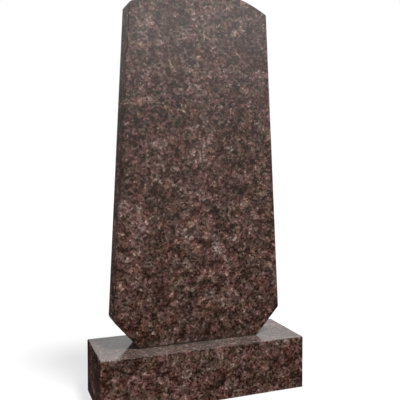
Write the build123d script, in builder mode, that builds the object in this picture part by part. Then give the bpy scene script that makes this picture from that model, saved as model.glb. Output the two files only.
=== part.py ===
"""Granite grave monument: a tapered stele with an arched head, doweled and glued to a plain plinth.

Millimetres. The origin is the centre of the plinth's underside, +Z is up, the inscription face
looks along -Y and +X runs to the right of somebody reading it.
"""

import os

from build123d import *

# Plinth: a long plain block, polished on every face except the sawn underside.
PLINTH_LENGTH = 600.0
PLINTH_DEPTH = 200.0
PLINTH_HEIGHT = 150.0
PLINTH_ARRIS = 2.0

# Stele: the upright slab. Its outline rises from a narrow foot, spreads to the knees over two
# slanting cuts, tapers up to the shoulders and closes in a low arch.
STELE_HEIGHT = 1000.0
STELE_THICKNESS = 80.0
FOOT_WIDTH = 360.0
KNEE_WIDTH = 500.0
KNEE_RISE = 78.0
SHOULDER_WIDTH = 410.0
HEAD_RISE = 57.0
STELE_ARRIS = 2.0

# Joint: two steel dowels in drilled holes, and a thin bed of resin that also fills the holes.
BED_THICKNESS = 2.0
DOWEL_DIAMETER = 12.0
DOWEL_LENGTH = 120.0
DOWEL_SPACING = 200.0
DOWEL_IN_PLINTH = 60.0
DOWEL_POINT = 1.0
RESIN_AROUND_DOWEL = 2.0
RESIN_OVER_DOWEL = 4.0

# Levels above the ground.
foot_level = PLINTH_HEIGHT + BED_THICKNESS
knee_level = foot_level + KNEE_RISE
head_level = foot_level + STELE_HEIGHT
shoulder_level = head_level - HEAD_RISE
dowel_base_level = PLINTH_HEIGHT - DOWEL_IN_PLINTH
dowel_top_level = dowel_base_level + DOWEL_LENGTH
hole_top_level = dowel_top_level + RESIN_OVER_DOWEL

dowel_radius = DOWEL_DIAMETER / 2
hole_radius = dowel_radius + RESIN_AROUND_DOWEL


# Plinth, with two blind dowel holes in its top.
with BuildPart() as plinth:
    with BuildSketch():
        Rectangle(PLINTH_LENGTH, PLINTH_DEPTH)
    extrude(amount=PLINTH_HEIGHT)
    underside_edges = plinth.faces().sort_by(Axis.Z)[0].edges()
    chamfer(plinth.edges() - underside_edges, length=PLINTH_ARRIS)
    with BuildSketch(Plane.XY.offset(PLINTH_HEIGHT)):
        with GridLocations(DOWEL_SPACING, 0, 2, 1):
            Circle(hole_radius)
    extrude(amount=-DOWEL_IN_PLINTH, mode=Mode.SUBTRACT)
plinth.part.label = "plinth"


# Stele, eased with a small arris along every edge, with the same two holes drilled up its foot.
with BuildPart() as stele:
    with BuildSketch(Plane.XZ):
        with BuildLine():
            Polyline(
                (0, foot_level),
                (FOOT_WIDTH / 2, foot_level),
                (KNEE_WIDTH / 2, knee_level),
                (SHOULDER_WIDTH / 2, shoulder_level),
            )
            mirror(about=Plane.YZ)
            ThreePointArc(
                (-SHOULDER_WIDTH / 2, shoulder_level),
                (0, head_level),
                (SHOULDER_WIDTH / 2, shoulder_level),
            )
        make_face()
    extrude(amount=STELE_THICKNESS / 2, both=True)
    chamfer(stele.edges(), length=STELE_ARRIS)
    with BuildSketch(Plane.XY.offset(foot_level)):
        with GridLocations(DOWEL_SPACING, 0, 2, 1):
            Circle(hole_radius)
    extrude(amount=hole_top_level - foot_level, mode=Mode.SUBTRACT)
stele.part.label = "stele"


# Dowels: round steel bars standing on the floors of the plinth's holes, their ends eased.
dowels = {}
for name, side in (("left_dowel", -1), ("right_dowel", 1)):
    with BuildPart() as dowel:
        with BuildSketch(Plane.XY.offset(dowel_base_level)):
            with Locations((side * DOWEL_SPACING / 2, 0)):
                Circle(dowel_radius)
        extrude(amount=DOWEL_LENGTH)
        chamfer(dowel.edges().filter_by(GeomType.CIRCLE), length=DOWEL_POINT)
    dowel.part.label = name
    dowels[name] = dowel.part


# Resin: the bed under the flat of the stele's foot, with a sleeve round each dowel that fills the
# holes and closes over the dowel's top.
with BuildPart() as resin_bed:
    with BuildSketch(Plane.XY.offset(PLINTH_HEIGHT)):
        Rectangle(FOOT_WIDTH - 2 * STELE_ARRIS, STELE_THICKNESS - 2 * STELE_ARRIS)
    extrude(amount=BED_THICKNESS)
    with BuildSketch(Plane.XY.offset(dowel_base_level)):
        with GridLocations(DOWEL_SPACING, 0, 2, 1):
            Circle(hole_radius)
    extrude(amount=hole_top_level - dowel_base_level)
    for bar in dowels.values():
        add(bar, mode=Mode.SUBTRACT)
resin_bed.part.label = "resin_bed"


os.makedirs("parts", exist_ok=True)
for piece in (plinth.part, stele.part, resin_bed.part, *dowels.values()):
    export_step(piece, f"parts/{piece.label}.step")
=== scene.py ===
"""Polished granite headstone: the finishes of its stones, resin and dowels, in a pale studio.

Metres. Colours are linear.
"""

import math

import bpy
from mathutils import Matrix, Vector

# Camera, from a fit to the edges of both stones in the photograph, which is 400 pixels wide.
PHOTO_WIDTH_PX = 400.0
FOCAL_PX = 563.87
SENSOR_MM = 36.0
CAMERA_AT = (-0.5670, -1.5331, 0.6727)
CAMERA_YAW_DEG = 20.71
CAMERA_PITCH_DEG = -2.10
CAMERA_SHIFT_Y = -0.05

# Light. A lamp's level is how bright it makes a white matte face turned to it, where 1 shows as white.
KEY_FROM = (0.20, -0.39, 0.90)
KEY_LEVEL = 1.12
KEY_SPREAD_DEG = 14.0
BACK_FROM = (-0.45, 0.75, 0.48)
BACK_LEVEL = 0.26
BACK_SPREAD_DEG = 70.0
FILL_LEVEL = 0.26
WHITE = (1.0, 1.0, 1.0, 1.0)

# Floor. Its glow is left out of the light on the stones.
FLOOR_COLOUR = (0.66, 0.66, 0.66, 1.0)
FLOOR_RADIUS = 60.0
FLOOR_GLOW = 1.2
FLOOR_GLOW_SHARE = 0.55

# What the polish reflects grows from dark near the floor to bright above. Its slope is measured from
# eye height, over a viewing distance, and it grows less at the back on the left, away from the key.
EYE_HEIGHT = 0.65
EYE_DISTANCE = 1.5
SHEEN_AT_EYE = 0.49
SHEEN_GROWTH = 6.2
SHEEN_AT_EYE_LEFT = 0.062
SHEEN_GROWTH_LEFT = 5.0
SHEEN_MOST = 2.1
LEFT_TO_RIGHT = (-0.25, 0.15)
BACK_TO_FRONT = (0.0, -0.5)

# The graded dark cards round the stones, through which the polish sees the floor and what is beyond,
# and the lit panel just inside them in front. Each is a profile of (radius, height), swept round.
CARD_PROFILE = [(0.002, 0.002), (2.0, 0.002), (3.0, 0.6), (3.0, 3.6)]
PANEL_PROFILE = [(2.98, 0.6), (2.98, 3.0)]
PANEL_FROM_DEG = -150.0
PANEL_TO_DEG = -20.0
SWEEP_STEPS = 48
RAYS_WITHOUT_SWEEPS = ("camera", "diffuse", "transmission", "shadow", "volume_scatter")

# Granite: the sizes of what shows in it, and how far the grains' edges wander.
MICRO_SIZE = 0.0016
FLECK_SIZE = 0.0036
GRAIN_SIZE = 0.0062
CRYSTAL_SIZE = 0.016
PATCH_SIZE = 0.034
CLOUD_SIZE = 0.11
WOBBLE_SIZE = 0.008
WOBBLE_REACH = 0.004

# How much of each goes into the mineral value, which is low in dark minerals and high in light ones.
MICRO_WEIGHT = 0.45
FLECK_WEIGHT = 0.16
GRAIN_WEIGHT = 0.40
CRYSTAL_WEIGHT = 0.22
PATCH_WEIGHT = 0.22
CLOUD_WEIGHT = 0.38
BRIGHT_FLECK_WEIGHT = 0.15
MICA_WEIGHT = -0.10

# Each fleck has two more random numbers. The first makes it bright and the second makes it mica, where
# they are over these limits.
BRIGHT_FLECK_LIMITS = (0.84, 0.96)
MICA_LIMITS = (0.86, 0.92)

# Most values of a noise lie between these.
NOISE_SPREAD = (0.3, 0.7)
CLOUD_SPREAD = (0.2, 0.8)

# Mineral colours by mineral value, in warm and in cool parts of the stone, and the tones over them.
WARM_MINERALS = [
    (0.20, (0.0130, 0.0030, 0.0012)),
    (0.38, (0.0390, 0.0140, 0.0085)),
    (0.52, (0.0790, 0.0360, 0.0285)),
    (0.68, (0.1450, 0.0690, 0.0580)),
    (0.82, (0.2600, 0.1500, 0.1270)),
    (0.95, (0.4700, 0.3350, 0.2850)),
]
COOL_MINERALS = [
    (0.20, (0.0105, 0.0036, 0.0016)),
    (0.38, (0.0310, 0.0165, 0.0102)),
    (0.52, (0.0680, 0.0410, 0.0300)),
    (0.68, (0.1240, 0.0790, 0.0605)),
    (0.82, (0.2200, 0.1560, 0.1280)),
    (0.95, (0.4200, 0.3450, 0.2900)),
]
WARMTH_SIZE = 0.030
WARMTH_OF_CRYSTAL = 0.25
WARMTH_LIMITS = (0.45, 0.80)
CREAM_TONE = (1.03, 1.01, 0.93, 1.0)
LILAC_TONE = (0.98, 0.98, 1.08, 1.0)
TONE_SIZE = 0.045
TONE_LIMITS = (0.35, 0.65)

# Polish: the dark minerals are softer and take less of it.
GRANITE_IOR = 1.5
SOFT_MINERAL_ROUGHNESS = 0.12
HARD_MINERAL_ROUGHNESS = 0.05
HARDNESS_LIMITS = (0.3, 0.7)
POLISH_RELIEF = 0.00003

# Sawn undersides, with marks along the saw's way, and a pale film on faces that look up: partly dust,
# and partly painted light that lightens the tops. The limits are of how far a face looks up, from -1 to 1.
SAWN_LIMITS = (-0.85, -0.95)
SAWN_ROUGHNESS = 0.75
SAWN_RELIEF = 0.0006
SAW_MARK_SIZE = 0.003
SAW_MARK_STRETCH = (0.05, 1.0, 1.0)
SAWN_DUST_SHARE = 0.45
SAWN_DUST_RANGE = 0.8
TOP_LIMITS = (0.6, 0.95)
TOP_DUST_AND_LIGHT_SHARE = 0.18
TOP_DUST_AND_LIGHT_RANGE = (0.7, 1.3)
TOP_DUST_AND_LIGHT_ROUGHNESS = 0.13
# The pale colour of the dust on the sawn faces, and of the film on the tops, which is partly painted light.
DUST_AND_TOP_LIGHT_COLOUR = (0.330, 0.300, 0.280, 1.0)

# Where in the pattern, which has no end, each stone is cut.
STELE_CUT_AT = (10.1, 4.594, 16.2)
PLINTH_CUT_AT = (10.9, 0.508, 10.6)

# Resin tinted like the stone, and steel drawn along the dowels, which stand upright.
RESIN_COLOUR = (0.120, 0.085, 0.070)
RESIN_ROUGHNESS = 0.5
STEEL_COLOUR = (0.55, 0.55, 0.56)
STEEL_ROUGHNESS = 0.35
STEEL_STRETCH = (1.0, 1.0, 0.03)
WORKED_GRAIN_SIZE = 0.0015
WORKED_RELIEF = 0.00004
WORKED_VARIATION = 0.2


def new_tree(owner):
    """An empty node tree on a material or a world."""
    owner.use_nodes = True
    owner.node_tree.nodes.clear()
    return owner.node_tree


def add(tree, kind, inputs=None, **settings):
    """A new node with its settings, whose inputs are set to values or linked to other nodes' sockets."""
    node = tree.nodes.new(kind)
    for name, value in settings.items():
        setattr(node, name, value)
    for name, value in (inputs or {}).items():
        if isinstance(value, bpy.types.NodeSocket):
            tree.links.new(value, node.inputs[name])
        else:
            node.inputs[name].default_value = value
    return node


def maths(tree, operation, first, second=0.0, third=0.0):
    """The result of one step of arithmetic on sockets or numbers."""
    inputs = {0: first, 1: second, 2: third}
    return add(tree, "ShaderNodeMath", inputs, operation=operation).outputs[0]


def vectors(tree, operation, first, second):
    """The result of one step of arithmetic on two vectors, axis by axis."""
    inputs = {0: first, 1: second}
    return add(tree, "ShaderNodeVectorMath", inputs, operation=operation).outputs[0]


def remap(tree, value, low, high, to_low=0.0, to_high=1.0, smooth=True):
    """value taken from low..high to to_low..to_high and held there beyond, with soft ends if smooth."""
    inputs = {"Value": value, 1: low, 2: high, 3: to_low, 4: to_high}
    kind = "SMOOTHSTEP" if smooth else "LINEAR"
    return add(tree, "ShaderNodeMapRange", inputs, interpolation_type=kind).outputs["Result"]


def blend_colours(tree, share, first, second, mode="MIX"):
    """The second colour laid over the first by a share from 0 to 1."""
    node = add(tree, "ShaderNodeMix", data_type="RGBA", blend_type=mode)
    share_in, first_in, second_in = node.inputs[0], node.inputs[6], node.inputs[7]
    for socket, value in ((share_in, share), (first_in, first), (second_in, second)):
        if isinstance(value, bpy.types.NodeSocket):
            tree.links.new(value, socket)
        else:
            socket.default_value = value
    return node.outputs[2]


def ramp(tree, value, stops):
    """A colour ramp through stops of (place, colour)."""
    node = add(tree, "ShaderNodeValToRGB", {"Fac": value})
    elements = node.color_ramp.elements
    while len(elements) < len(stops):
        elements.new(1.0)
    for element, (place, colour) in zip(elements, stops):
        element.position = place
        element.color = (*colour, 1.0)
    return node.outputs["Color"]


def noise(tree, place, size, detail=2.0, roughness=0.5):
    """Noise whose features are about size metres across."""
    inputs = {"Vector": place, "Scale": 1.0 / size, "Detail": detail, "Roughness": roughness}
    return add(tree, "ShaderNodeTexNoise", inputs)


def cells(tree, place, size):
    """Three random numbers for each of the cells, which are about size metres apart."""
    colour = add(tree, "ShaderNodeTexVoronoi", {"Vector": place, "Scale": 1.0 / size}).outputs["Color"]
    return add(tree, "ShaderNodeSeparateColor", {"Color": colour}).outputs


def object_place(tree):
    """The place on the object, which stays with it when it moves."""
    return add(tree, "ShaderNodeTexCoord").outputs["Object"]


def bumped(tree, height):
    """The surface's direction with a relief of that height laid over it."""
    return add(tree, "ShaderNodeBump", {"Height": height, "Strength": 1.0, "Distance": 1.0}).outputs[0]


def wandering(tree, place):
    """The place moved about a little, so that the grains' edges aren't straight."""
    wobble = noise(tree, place, WOBBLE_SIZE).outputs["Color"]
    shift = vectors(tree, "SUBTRACT", wobble, (0.5, 0.5, 0.5))
    shift = vectors(tree, "MULTIPLY", shift, (WOBBLE_REACH, WOBBLE_REACH, WOBBLE_REACH))
    return vectors(tree, "ADD", place, shift)


def mineral_value(tree, place, bent, crystal, cloud):
    """The mix of grains, flecks, crystals, patches and clouds that says how light a mineral is."""
    grain = cells(tree, bent, GRAIN_SIZE)
    fleck, brightness, mica = cells(tree, bent, FLECK_SIZE)
    patch = remap(tree, noise(tree, place, PATCH_SIZE).outputs[0], *NOISE_SPREAD, smooth=False)
    micro = noise(tree, bent, MICRO_SIZE, detail=3.0, roughness=0.6).outputs[0]
    parts = (
        (crystal, CRYSTAL_WEIGHT),
        (fleck, FLECK_WEIGHT),
        (patch, PATCH_WEIGHT),
        (maths(tree, "SUBTRACT", cloud, 0.5), CLOUD_WEIGHT),
        (remap(tree, brightness, *BRIGHT_FLECK_LIMITS), BRIGHT_FLECK_WEIGHT),
        (remap(tree, mica, *MICA_LIMITS), MICA_WEIGHT),
        (maths(tree, "SUBTRACT", micro, 0.5), MICRO_WEIGHT),
    )
    value = maths(tree, "MULTIPLY", grain[0], GRAIN_WEIGHT)
    for part, weight in parts:
        value = maths(tree, "MULTIPLY_ADD", part, weight, value)
    return value


def mineral_colour(tree, place, value, crystal):
    """The minerals' colour, which drifts between warm and cool, and between cream and lilac."""
    warmth = noise(tree, place, WARMTH_SIZE, detail=3.0).outputs[0]
    warmth = maths(tree, "MULTIPLY_ADD", crystal, WARMTH_OF_CRYSTAL, warmth)
    warmth = remap(tree, warmth, *WARMTH_LIMITS)
    colour = blend_colours(tree, warmth, ramp(tree, value, COOL_MINERALS), ramp(tree, value, WARM_MINERALS))
    tone = remap(tree, noise(tree, place, TONE_SIZE).outputs[0], *TONE_LIMITS)
    tone = blend_colours(tree, tone, LILAC_TONE, CREAM_TONE)
    return blend_colours(tree, 1.0, colour, tone, mode="MULTIPLY")


def granite(name, cut_at):
    """Polished dark brown granite, sawn underneath, with a pale film on top that is partly dust and partly
    painted light.
    """
    material = bpy.data.materials.new(name)
    tree = new_tree(material)
    place = vectors(tree, "ADD", object_place(tree), cut_at)
    bent = wandering(tree, place)
    crystal = cells(tree, bent, CRYSTAL_SIZE)
    cloud = noise(tree, place, CLOUD_SIZE, detail=1.0).outputs[0]
    value = mineral_value(tree, place, bent, crystal[0], cloud)
    colour = mineral_colour(tree, place, value, crystal[1])
    roughness = remap(tree, value, *HARDNESS_LIMITS, SOFT_MINERAL_ROUGHNESS, HARD_MINERAL_ROUGHNESS)

    face = add(tree, "ShaderNodeNewGeometry").outputs["Normal"]
    upward = add(tree, "ShaderNodeSeparateXYZ", {0: face}).outputs["Z"]
    sawn = remap(tree, upward, *SAWN_LIMITS)
    # Faces that look up are lightened by a film that is partly dust and partly painted light.
    top_dust_and_light = remap(tree, cloud, *CLOUD_SPREAD, *TOP_DUST_AND_LIGHT_RANGE)
    top_dust_and_light = maths(tree, "MULTIPLY", remap(tree, upward, *TOP_LIMITS), top_dust_and_light)
    along = vectors(tree, "MULTIPLY", place, SAW_MARK_STRETCH)
    marks = noise(tree, along, SAW_MARK_SIZE, detail=4.0, roughness=0.6).outputs[0]

    # Dust on the sawn faces follows the saw marks. The film on the tops is partly dust and partly painted
    # light.
    least_dust = SAWN_DUST_SHARE - SAWN_DUST_RANGE / 2
    dust_and_top_light = maths(tree, "MULTIPLY", maths(tree, "MULTIPLY_ADD", marks, SAWN_DUST_RANGE, least_dust), sawn)
    dust_and_top_light = maths(tree, "MULTIPLY_ADD", top_dust_and_light, TOP_DUST_AND_LIGHT_SHARE, dust_and_top_light)
    colour = blend_colours(tree, dust_and_top_light, colour, DUST_AND_TOP_LIGHT_COLOUR)
    roughness = maths(tree, "MAXIMUM", roughness, maths(tree, "MULTIPLY", top_dust_and_light, TOP_DUST_AND_LIGHT_ROUGHNESS))
    roughness = maths(tree, "MAXIMUM", roughness, maths(tree, "MULTIPLY", sawn, SAWN_ROUGHNESS))
    relief = maths(tree, "MULTIPLY", value, POLISH_RELIEF)
    relief = maths(tree, "MULTIPLY_ADD", maths(tree, "MULTIPLY", marks, sawn), SAWN_RELIEF, relief)

    shader = add(tree, "ShaderNodeBsdfPrincipled", {
        "Base Color": colour, "Roughness": roughness, "IOR": GRANITE_IOR, "Normal": bumped(tree, relief)})
    add(tree, "ShaderNodeOutputMaterial", {"Surface": shader.outputs[0]})
    return material


def worked(name, colour, roughness, metallic=0.0, stretch=(1.0, 1.0, 1.0)):
    """A finish whose fine grain shifts its colour, gloss and relief, and may be drawn out along an axis."""
    material = bpy.data.materials.new(name)
    tree = new_tree(material)
    place = vectors(tree, "MULTIPLY", object_place(tree), stretch)
    grain = noise(tree, place, WORKED_GRAIN_SIZE, detail=4.0, roughness=0.6).outputs[0]
    less = 1.0 - WORKED_VARIATION
    more = 1.0 + WORKED_VARIATION
    darker = (*[less * channel for channel in colour], 1.0)
    lighter = (*[more * channel for channel in colour], 1.0)
    shader = add(tree, "ShaderNodeBsdfPrincipled", {
        "Base Color": blend_colours(tree, grain, darker, lighter),
        "Metallic": metallic,
        "Roughness": remap(tree, grain, *NOISE_SPREAD, less * roughness, more * roughness),
        "Normal": bumped(tree, maths(tree, "MULTIPLY", grain, WORKED_RELIEF))})
    add(tree, "ShaderNodeOutputMaterial", {"Surface": shader.outputs[0]})
    return material


def finish_with(node, material):
    """Gives every slot of a CAD node that material."""
    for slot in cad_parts[node].material_slots:
        slot.material = material


def seen_directly_or_in_gloss(tree):
    """1 for a ray from the camera, off a gloss or through glass, and 0 for one that carries light."""
    path = add(tree, "ShaderNodeLightPath").outputs
    either = maths(tree, "MAXIMUM", path["Is Camera Ray"], path["Is Glossy Ray"])
    return maths(tree, "MAXIMUM", either, path["Is Transmission Ray"])


def make_world():
    """White where it is seen or reflected, and a softer fill where it lights."""
    world = bpy.data.worlds.new("studio")
    tree = new_tree(world)
    strength = remap(tree, seen_directly_or_in_gloss(tree), 0.0, 1.0, FILL_LEVEL, 1.0, smooth=False)
    background = add(tree, "ShaderNodeBackground", {"Color": WHITE, "Strength": strength})
    add(tree, "ShaderNodeOutputWorld", {"Surface": background.outputs[0]})
    bpy.context.scene.world = world


def mesh_object(name, points, faces, material):
    """A mesh object in the scene, with its material."""
    mesh = bpy.data.meshes.new(name)
    mesh.from_pydata(points, [], faces)
    mesh.materials.append(material)
    made = bpy.data.objects.new(name, mesh)
    bpy.context.scene.collection.objects.link(made)
    return made


def make_floor():
    """A plain pale floor, which glows in part where it is seen or reflected, so that it shows white."""
    material = bpy.data.materials.new("floor")
    tree = new_tree(material)
    diffuse = add(tree, "ShaderNodeBsdfDiffuse", {"Color": FLOOR_COLOUR})
    glow = add(tree, "ShaderNodeEmission", {"Strength": FLOOR_GLOW})
    share = maths(tree, "MULTIPLY", seen_directly_or_in_gloss(tree), FLOOR_GLOW_SHARE)
    shader = add(tree, "ShaderNodeMixShader", {0: share, 1: diffuse.outputs[0], 2: glow.outputs[0]})
    add(tree, "ShaderNodeOutputMaterial", {"Surface": shader.outputs[0]})
    r = FLOOR_RADIUS
    mesh_object("floor", [(-r, -r, 0), (r, -r, 0), (r, r, 0), (-r, r, 0)], [(0, 1, 2, 3)], material)


def make_lamp(name, from_where, level, spread_deg):
    """A far soft lamp, which is left out of reflections."""
    data = bpy.data.lights.new(name, "SUN")
    data.energy = level * math.pi
    data.angle = math.radians(spread_deg)
    lamp = bpy.data.objects.new(name, data)
    bpy.context.scene.collection.objects.link(lamp)
    lamp.rotation_euler = Vector(from_where).to_track_quat("Z", "Y").to_euler()
    lamp.visible_glossy = False


def sweep(name, profile, from_deg, to_deg, material):
    """A surface swept round the stones from its profile, which only their gloss sees."""
    points, faces = [], []
    for step in range(SWEEP_STEPS + 1):
        angle = math.radians(from_deg + (to_deg - from_deg) * step / SWEEP_STEPS)
        points += [(r * math.cos(angle), r * math.sin(angle), h) for r, h in profile]
    count = len(profile)
    for step in range(SWEEP_STEPS):
        here, there = step * count, (step + 1) * count
        faces += [(here + i, here + i + 1, there + i + 1, there + i) for i in range(count - 1)]
    made = mesh_object(name, points, faces, material)
    for ray in RAYS_WITHOUT_SWEEPS:
        setattr(made, "visible_" + ray, False)


def sheen(tree):
    """How bright the polish should see things, from their place round the stones."""
    place = add(tree, "ShaderNodeNewGeometry").outputs["Position"]
    x, y, z = add(tree, "ShaderNodeSeparateXYZ", {0: place}).outputs
    squares = maths(tree, "ADD", maths(tree, "MULTIPLY", x, x), maths(tree, "MULTIPLY", y, y))
    reach = maths(tree, "SQRT", squares)
    height = maths(tree, "SUBTRACT", z, EYE_HEIGHT)
    rise = maths(tree, "DIVIDE", height, maths(tree, "ADD", reach, EYE_DISTANCE))
    rightward = remap(tree, maths(tree, "DIVIDE", x, reach), *LEFT_TO_RIGHT)
    forward = remap(tree, maths(tree, "DIVIDE", y, reach), *BACK_TO_FRONT)
    lit = maths(tree, "MAXIMUM", rightward, forward)
    level = remap(tree, lit, 0.0, 1.0, SHEEN_AT_EYE_LEFT, SHEEN_AT_EYE, smooth=False)
    growth = remap(tree, lit, 0.0, 1.0, SHEEN_GROWTH_LEFT, SHEEN_GROWTH, smooth=False)
    return maths(tree, "MULTIPLY", maths(tree, "EXPONENT", maths(tree, "MULTIPLY", rise, growth)), level)


def make_panel():
    """A wide lit panel in front of the stones, brighter towards its top."""
    material = bpy.data.materials.new("panel")
    tree = new_tree(material)
    shader = add(tree, "ShaderNodeEmission", {"Strength": maths(tree, "MINIMUM", sheen(tree), SHEEN_MOST)})
    add(tree, "ShaderNodeOutputMaterial", {"Surface": shader.outputs[0]})
    sweep("panel", PANEL_PROFILE, PANEL_FROM_DEG, PANEL_TO_DEG, material)


def make_cards():
    """Graded dark cards round the stones, through which the polish sees the floor and the white beyond."""
    material = bpy.data.materials.new("cards")
    tree = new_tree(material)
    shader = add(tree, "ShaderNodeBsdfTransparent", {"Color": maths(tree, "MINIMUM", sheen(tree), 1.0)})
    add(tree, "ShaderNodeOutputMaterial", {"Surface": shader.outputs[0]})
    sweep("cards", CARD_PROFILE, 0.0, 360.0, material)


def make_camera():
    """The photograph's camera."""
    data = bpy.data.cameras.new("camera")
    data.sensor_width = SENSOR_MM
    data.lens = FOCAL_PX * SENSOR_MM / PHOTO_WIDTH_PX
    data.shift_y = CAMERA_SHIFT_Y
    camera = bpy.data.objects.new("camera", data)
    bpy.context.scene.collection.objects.link(camera)
    camera.location = CAMERA_AT
    camera.rotation_euler = (math.radians(90.0 + CAMERA_PITCH_DEG), 0.0, math.radians(-CAMERA_YAW_DEG))
    bpy.context.scene.camera = camera


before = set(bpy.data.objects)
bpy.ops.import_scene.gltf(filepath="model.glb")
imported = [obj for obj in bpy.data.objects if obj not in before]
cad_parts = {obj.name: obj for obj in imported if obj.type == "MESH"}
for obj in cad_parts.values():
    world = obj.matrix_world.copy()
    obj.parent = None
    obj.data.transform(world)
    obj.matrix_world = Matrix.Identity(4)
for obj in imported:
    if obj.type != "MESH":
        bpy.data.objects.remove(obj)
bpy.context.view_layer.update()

finish_with("stele", granite("stele_granite", STELE_CUT_AT))
finish_with("plinth", granite("plinth_granite", PLINTH_CUT_AT))
finish_with("resin_bed", worked("resin", RESIN_COLOUR, RESIN_ROUGHNESS))
dowel_steel = worked("dowel_steel", STEEL_COLOUR, STEEL_ROUGHNESS, metallic=1.0, stretch=STEEL_STRETCH)
for dowel in ("left_dowel", "right_dowel"):
    finish_with(dowel, dowel_steel)

make_world()
make_floor()
make_lamp("key", KEY_FROM, KEY_LEVEL, KEY_SPREAD_DEG)
make_lamp("back", BACK_FROM, BACK_LEVEL, BACK_SPREAD_DEG)
make_panel()
make_cards()
make_camera()
bpy.context.scene.view_settings.view_transform = "Standard"
